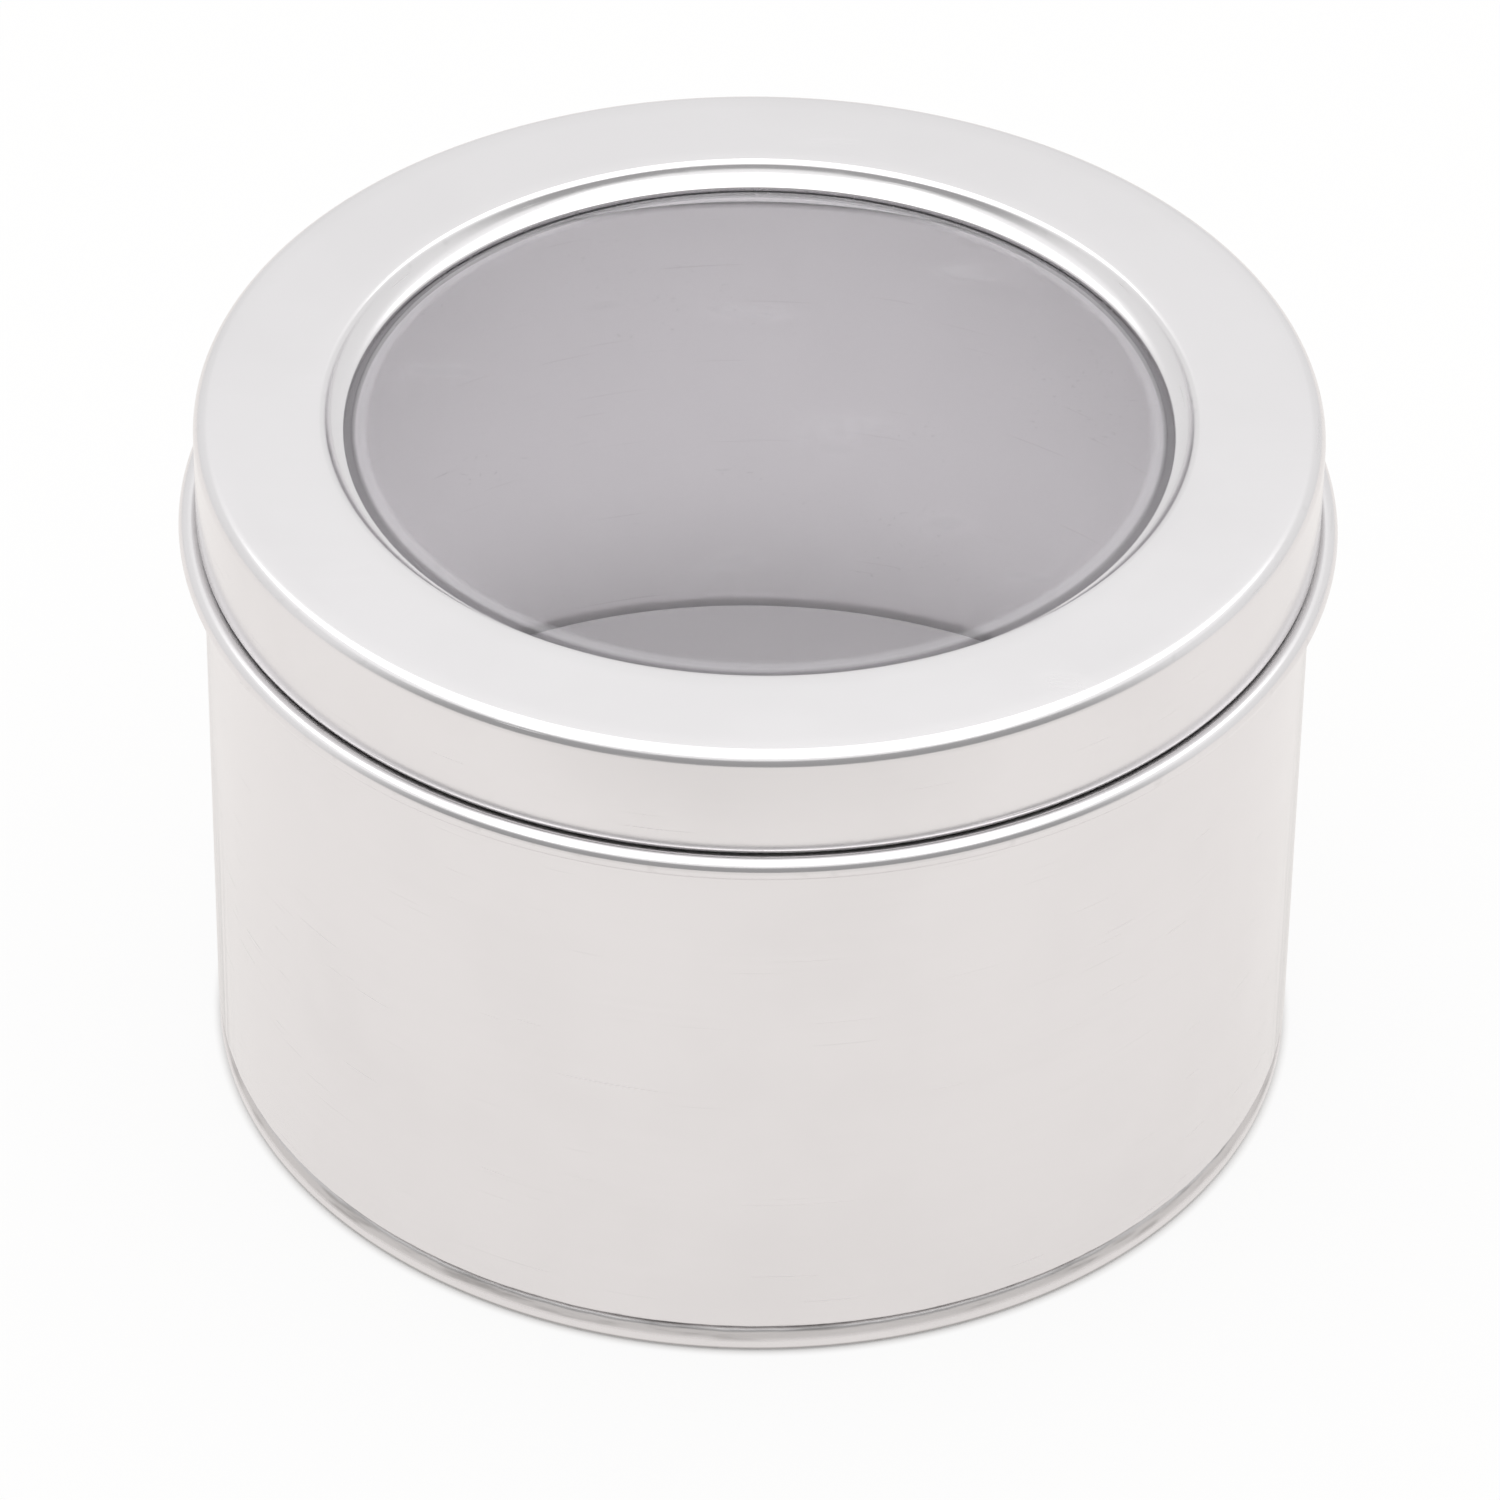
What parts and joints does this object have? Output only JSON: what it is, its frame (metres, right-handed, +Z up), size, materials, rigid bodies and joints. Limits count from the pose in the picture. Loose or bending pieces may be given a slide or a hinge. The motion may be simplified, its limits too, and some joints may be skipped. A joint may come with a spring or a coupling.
{
  "type": "window lid tin",
  "caption": "Round tinplate tin with a rolled stop bead and a lift-off slip lid that holds a clear round window.",
  "frame": {"origin": "centre of the circle that the foot seam stands on", "axes": "+Z up along the tin's axis; the tin is round, so X and Y are alike, and the picture looks along +Y from -Y"},
  "size_m": [0.0918, 0.0918, 0.06],
  "materials": {
    "tinplate": "satin bright tinplate",
    "seam_compound": "matt lining compound",
    "clear_window": "clear gloss"
  },
  "bodies": {
    "tin_body": {"body_wall": "tinplate", "base_plate": "tinplate", "base_seam_compound": "seam_compound"},
    "lid": {"lid_shell": "tinplate", "window_pane": "clear_window", "window_clamp_ring": "tinplate"}
  },
  "joints": [
    {"name": "lid_lift", "type": "slide", "parent": "tin_body", "child": "lid", "axis": [0, 0, 1], "range_m": [0, 0.08]}
  ]
}
